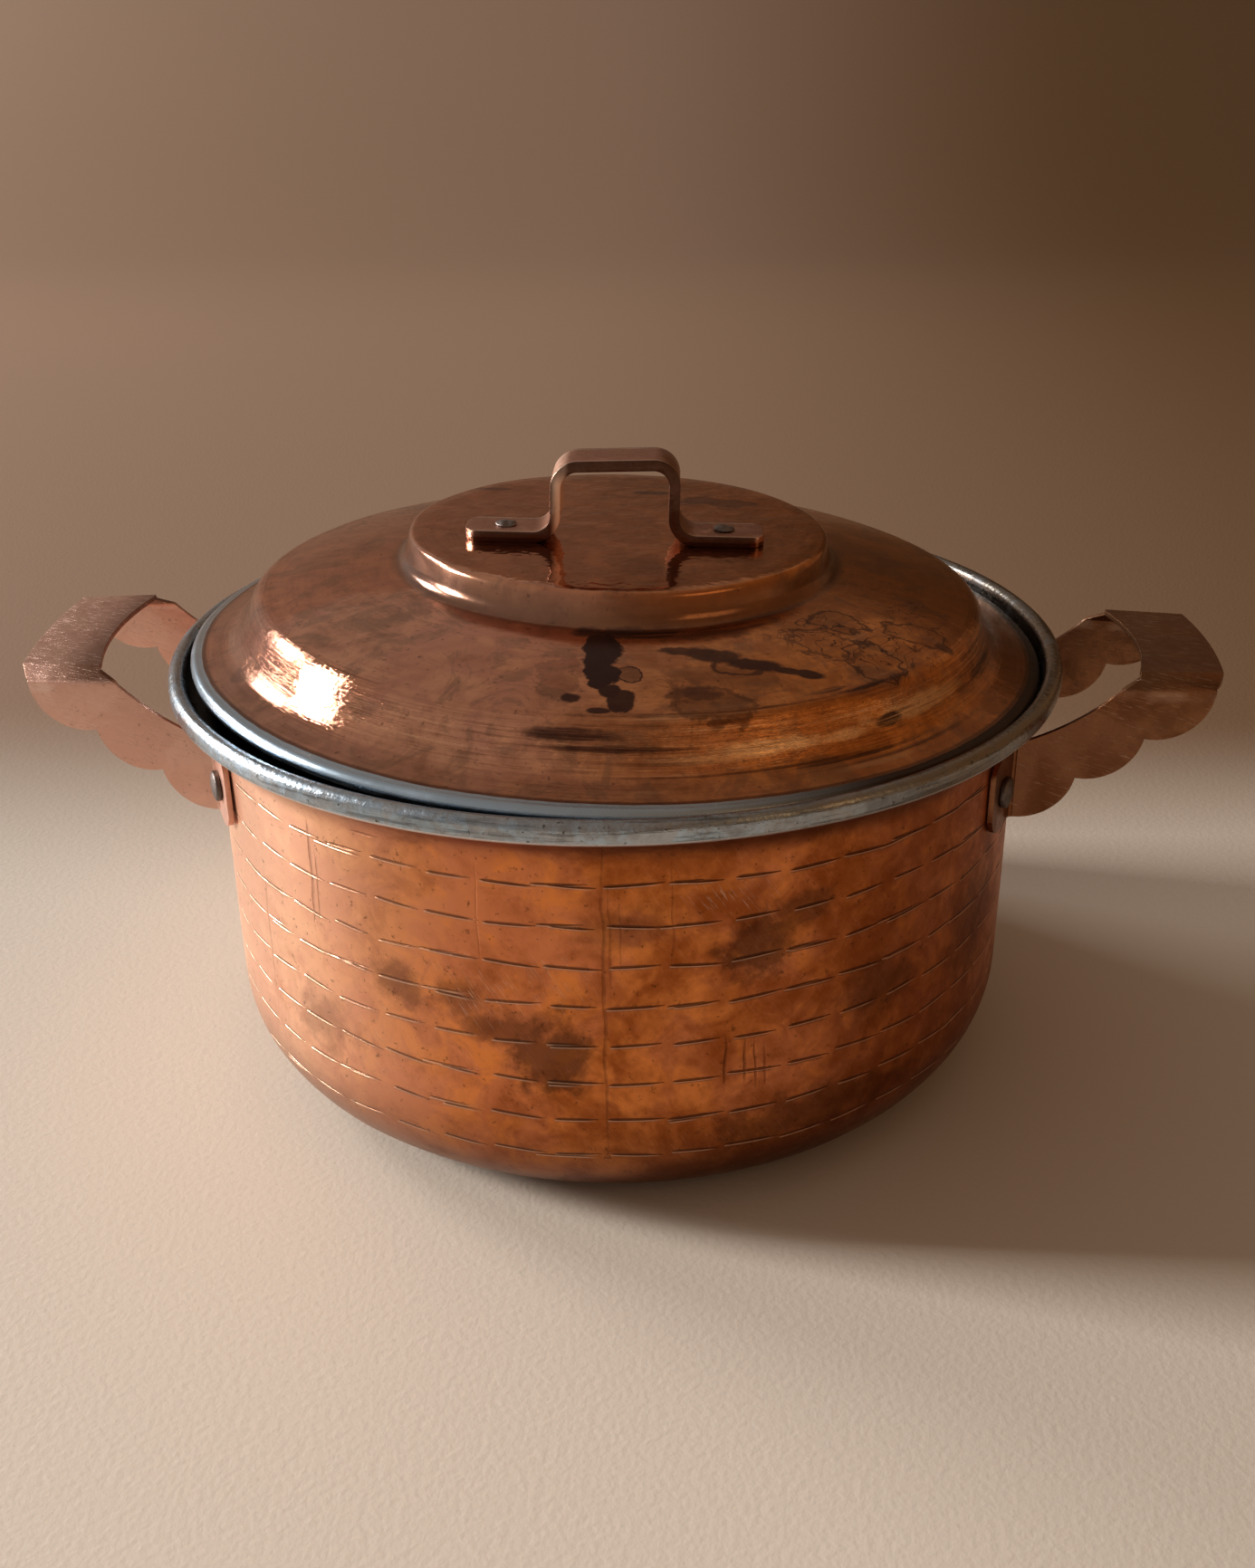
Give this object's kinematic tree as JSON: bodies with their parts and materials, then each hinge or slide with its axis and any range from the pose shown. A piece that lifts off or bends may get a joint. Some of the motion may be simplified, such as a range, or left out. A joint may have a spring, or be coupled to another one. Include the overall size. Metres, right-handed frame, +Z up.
{
  "type": "lidded copper casserole",
  "caption": "Round hand-raised copper pot with a tinned rolled rim, chased rows on its wall, folded sheet side handles and a stepped lift-off lid with a strap handle.",
  "frame": {"origin": "middle of the flat bottom, on the surface that the pot stands on", "axes": "+Z up, the side handles along X, the pictured front faces -Y"},
  "size_m": [0.3379, 0.26, 0.1839],
  "materials": {
    "shell_copper": "worn warm copper, chased, tinned inside and over the rim",
    "lid_copper": "polished copper with brown patina, tinned underneath and along the edge",
    "strap_copper": "brown copper strap with rubbed edges",
    "handle_copper": "dull matte pink-brown copper sheet",
    "rivet_iron": "dark hammered iron",
    "edge_wire": "plain iron wire"
  },
  "bodies": {
    "pot": {"pot_body": "shell_copper", "rim_wire": "edge_wire", "left_handle": "handle_copper", "right_handle": "handle_copper", "left_front_rivet": "rivet_iron", "left_rear_rivet": "rivet_iron", "right_front_rivet": "rivet_iron", "right_rear_rivet": "rivet_iron"},
    "lid": {"lid_shell": "lid_copper", "lid_wire": "edge_wire", "lid_handle": "strap_copper", "lid_left_rivet": "rivet_iron", "lid_right_rivet": "rivet_iron"}
  },
  "joints": [
    {"name": "lid_lift", "type": "slide", "parent": "pot", "child": "lid", "axis": [0, 0, 1], "range_m": [0, 0.06]}
  ]
}
